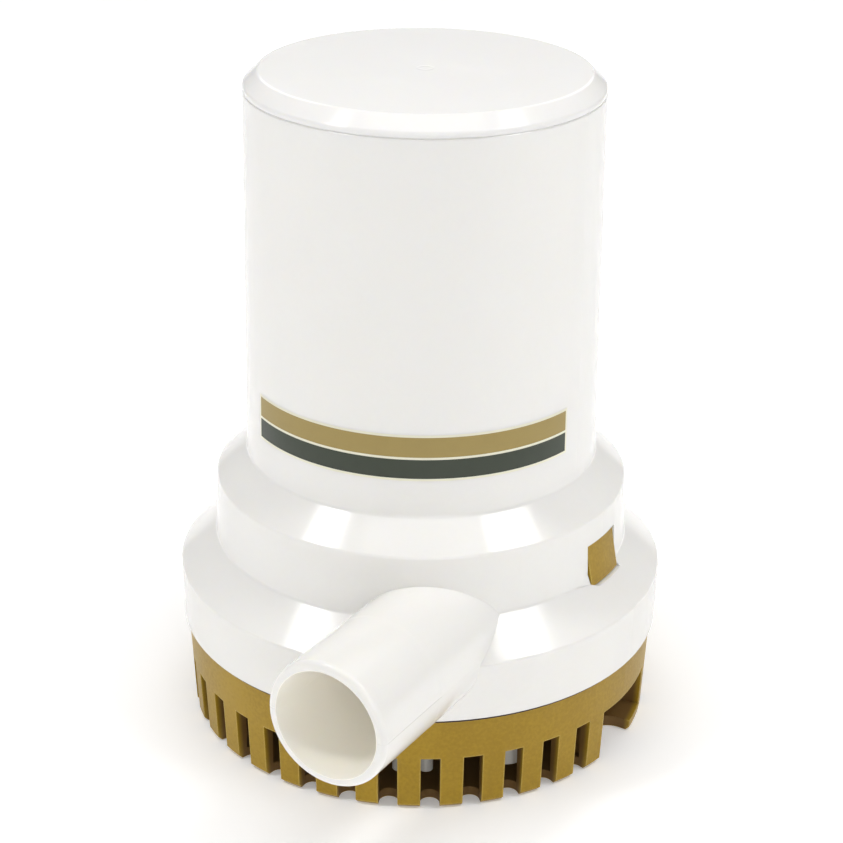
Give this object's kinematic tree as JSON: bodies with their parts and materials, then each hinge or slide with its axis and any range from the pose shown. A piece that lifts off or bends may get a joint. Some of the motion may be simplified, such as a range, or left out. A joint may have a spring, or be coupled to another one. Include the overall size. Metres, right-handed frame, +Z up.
{
  "type": "bilge pump",
  "caption": "Submersible centrifugal bilge pump: stepped white motor housing with a side hose spigot, clipped into a slotted gold strainer base.",
  "frame": {"origin": "centre of the strainer's bottom face, on the shaft axis", "axes": "+Z up along the shaft towards the cap, the hose spigot points along -Y and the two latches lie on X"},
  "size_m": [0.1126, 0.1351, 0.1533],
  "materials": {
    "white_plastic": "smooth moulded plastic",
    "cap_plastic": "smooth moulded plastic",
    "plate_plastic": "smooth moulded plastic",
    "gold_plastic": "satin moulded plastic",
    "impeller_plastic": "moulded acetal",
    "black_plastic": "moulded nylon",
    "washer_plastic": "moulded acetal",
    "black_rubber": "matt rubber",
    "seal_rubber": "nitrile rubber",
    "stainless": "stainless steel",
    "shaft_steel": "ground stainless steel",
    "yoke_steel": "zinc plated steel",
    "spring_steel": "drawn wire",
    "core_steel": "stacked laminations",
    "bronze": "sintered bronze",
    "brass": "stamped brass",
    "copper_bars": "turned copper",
    "copper_wire": "enamelled copper wire",
    "ferrite": "sintered ferrite",
    "carbon": "pressed carbon"
  },
  "bodies": {
    "base": {"strainer_base": "gold_plastic"},
    "latch_right": {"latch_arm_right": "gold_plastic"},
    "latch_left": {"latch_arm_left": "gold_plastic"},
    "pump": {"pump_housing": "white_plastic", "top_cap": "cap_plastic", "intake_plate": "plate_plastic", "lead_gland": "black_rubber", "intake_plate_screws": "stainless", "shaft_seal": "seal_rubber", "seal_keeper": "stainless", "motor_yoke": "yoke_steel", "lower_bearing": "bronze", "upper_bearing": "bronze", "motor_end_plate": "black_plastic", "terminal_tabs": "brass", "magnet_front": "ferrite", "magnet_rear": "ferrite", "brush_holder_right": "brass", "brush_holder_left": "brass", "brush_spring_right": "spring_steel", "brush_spring_left": "spring_steel", "lower_motor_ring": "seal_rubber", "upper_motor_ring": "seal_rubber"},
    "rotor": {"impeller": "impeller_plastic", "motor_shaft": "shaft_steel", "armature_core": "core_steel", "armature_windings": "copper_wire", "commutator": "copper_bars", "thrust_washers": "washer_plastic"},
    "brush_right": {"brush_right": "carbon"},
    "brush_left": {"brush_left": "carbon"}
  },
  "joints": [
    {"name": "pump_lift", "type": "slide", "parent": "base", "child": "pump", "axis": [0, 0, 1], "range_m": [0, 0.045], "deforming": ["latch_arm_right", "latch_arm_left"]},
    {"name": "latch_right_press", "type": "hinge", "parent": "base", "child": "latch_right", "pos_m": [0.0438, 0, 0.014], "axis": [0, -1, 0], "range_deg": [0, 4], "stiffness_Nm_per_rad": 1},
    {"name": "latch_left_press", "type": "hinge", "parent": "base", "child": "latch_left", "pos_m": [-0.0438, 0, 0.014], "axis": [0, 1, 0], "range_deg": [0, 4], "stiffness_Nm_per_rad": 1},
    {"name": "rotor_spin", "type": "hinge", "parent": "pump", "child": "rotor", "pos_m": [0, 0, 0.09], "axis": [0, 0, -1], "continuous": true},
    {"name": "brush_right_slide", "type": "slide", "parent": "pump", "child": "brush_right", "axis": [1, 0, 0], "range_m": [0, 0.002], "stiffness_N_per_m": 150, "deforming": ["brush_spring_right"]},
    {"name": "brush_left_slide", "type": "slide", "parent": "pump", "child": "brush_left", "axis": [-1, 0, 0], "range_m": [0, 0.002], "stiffness_N_per_m": 150, "deforming": ["brush_spring_left"]}
  ]
}
